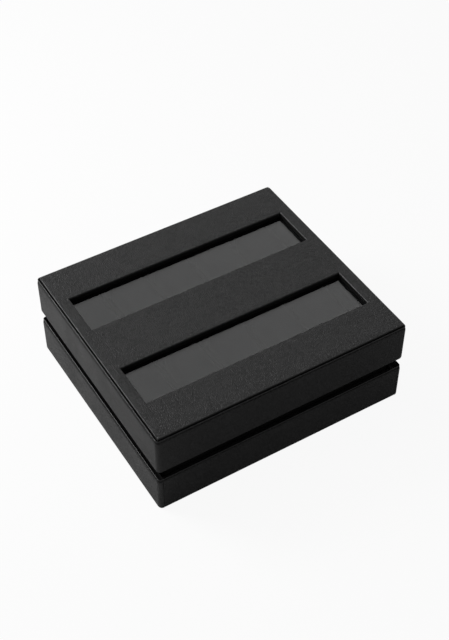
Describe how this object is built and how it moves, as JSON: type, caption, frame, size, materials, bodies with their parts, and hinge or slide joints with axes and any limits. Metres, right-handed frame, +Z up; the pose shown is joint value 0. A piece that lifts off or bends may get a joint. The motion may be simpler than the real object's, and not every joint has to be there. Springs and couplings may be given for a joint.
{
  "type": "watch box with drawer",
  "caption": "Low tiered watch box in black leather: hinged lid with long glazed windows over a pillow tray, a shadow gap all round, and a flush pull-out drawer below.",
  "frame": {"origin": "middle of the face that the box rests on", "axes": "+X to the right, -Y towards the front that the drawer opens from, +Z up"},
  "size_m": [0.28, 0.25, 0.1014],
  "materials": {
    "leather": "fine-grained black leather, satin",
    "neck_wrap": "thin matt black leather wrapped over board",
    "board": "black-stained fibreboard, matt",
    "frame_board": "fibreboard with edges dyed black, matt",
    "velvet": "short-pile black velvet",
    "pillow_leather": "soft matt black leather over foam",
    "felt": "black wool felt",
    "glass": "clear polished flat glass",
    "hinge_metal": "black-finished steel, satin",
    "screw_metal": "blackened steel, satin",
    "runner_strip": "slick black plastic strip"
  },
  "bodies": {
    "case": {"base_pad": "felt", "bottom_board": "board", "case_wall": "leather", "neck_left": "neck_wrap", "neck_right": "neck_wrap", "neck_back": "neck_wrap", "neck_front_rail": "neck_wrap", "deck_board": "board", "deck_lining": "velvet", "neck_lining": "velvet", "long_divider": "velvet", "cross_divider_1": "velvet", "cross_divider_2": "velvet", "cross_divider_3": "velvet", "cross_divider_4": "velvet", "pillow_front_1": "pillow_leather", "pillow_front_2": "pillow_leather", "pillow_front_3": "pillow_leather", "pillow_front_4": "pillow_leather", "pillow_front_5": "pillow_leather", "pillow_back_1": "pillow_leather", "pillow_back_2": "pillow_leather", "pillow_back_3": "pillow_leather", "pillow_back_4": "pillow_leather", "pillow_back_5": "pillow_leather", "drawer_runners": "runner_strip", "drawer_stops": "board", "hinge_left_fixed_leaf": "hinge_metal", "hinge_right_fixed_leaf": "hinge_metal", "hinge_pins": "hinge_metal", "hinge_case_screws": "screw_metal"},
    "lid": {"lid_wall": "leather", "lid_top_panel": "leather", "lid_rail_front": "frame_board", "lid_rail_middle": "frame_board", "lid_rail_back": "frame_board", "lid_stile_left": "frame_board", "lid_stile_right": "frame_board", "glass_front": "glass", "glass_back": "glass", "lid_underside_panel": "velvet", "lid_board_front": "board", "lid_board_back": "board", "lid_board_left": "board", "lid_board_right": "board", "lid_lining": "velvet", "hinge_left_moving_leaf": "hinge_metal", "hinge_right_moving_leaf": "hinge_metal", "hinge_lid_screws": "screw_metal"},
    "drawer": {"drawer_front": "leather", "drawer_box_front": "board", "drawer_side_left": "board", "drawer_side_right": "board", "drawer_back": "board", "drawer_bottom": "board", "drawer_lining": "velvet", "drawer_divider_1": "velvet", "drawer_divider_2": "velvet", "drawer_front_screws": "screw_metal"}
  },
  "joints": [
    {"name": "lid_hinge", "type": "hinge", "parent": "case", "child": "lid", "pos_m": [0, 0.121, 0.048], "axis": [-1, 0, 0], "range_deg": [0, 95]},
    {"name": "drawer_slide", "type": "slide", "parent": "case", "child": "drawer", "axis": [0, -1, 0], "range_m": [0, 0.16]}
  ]
}
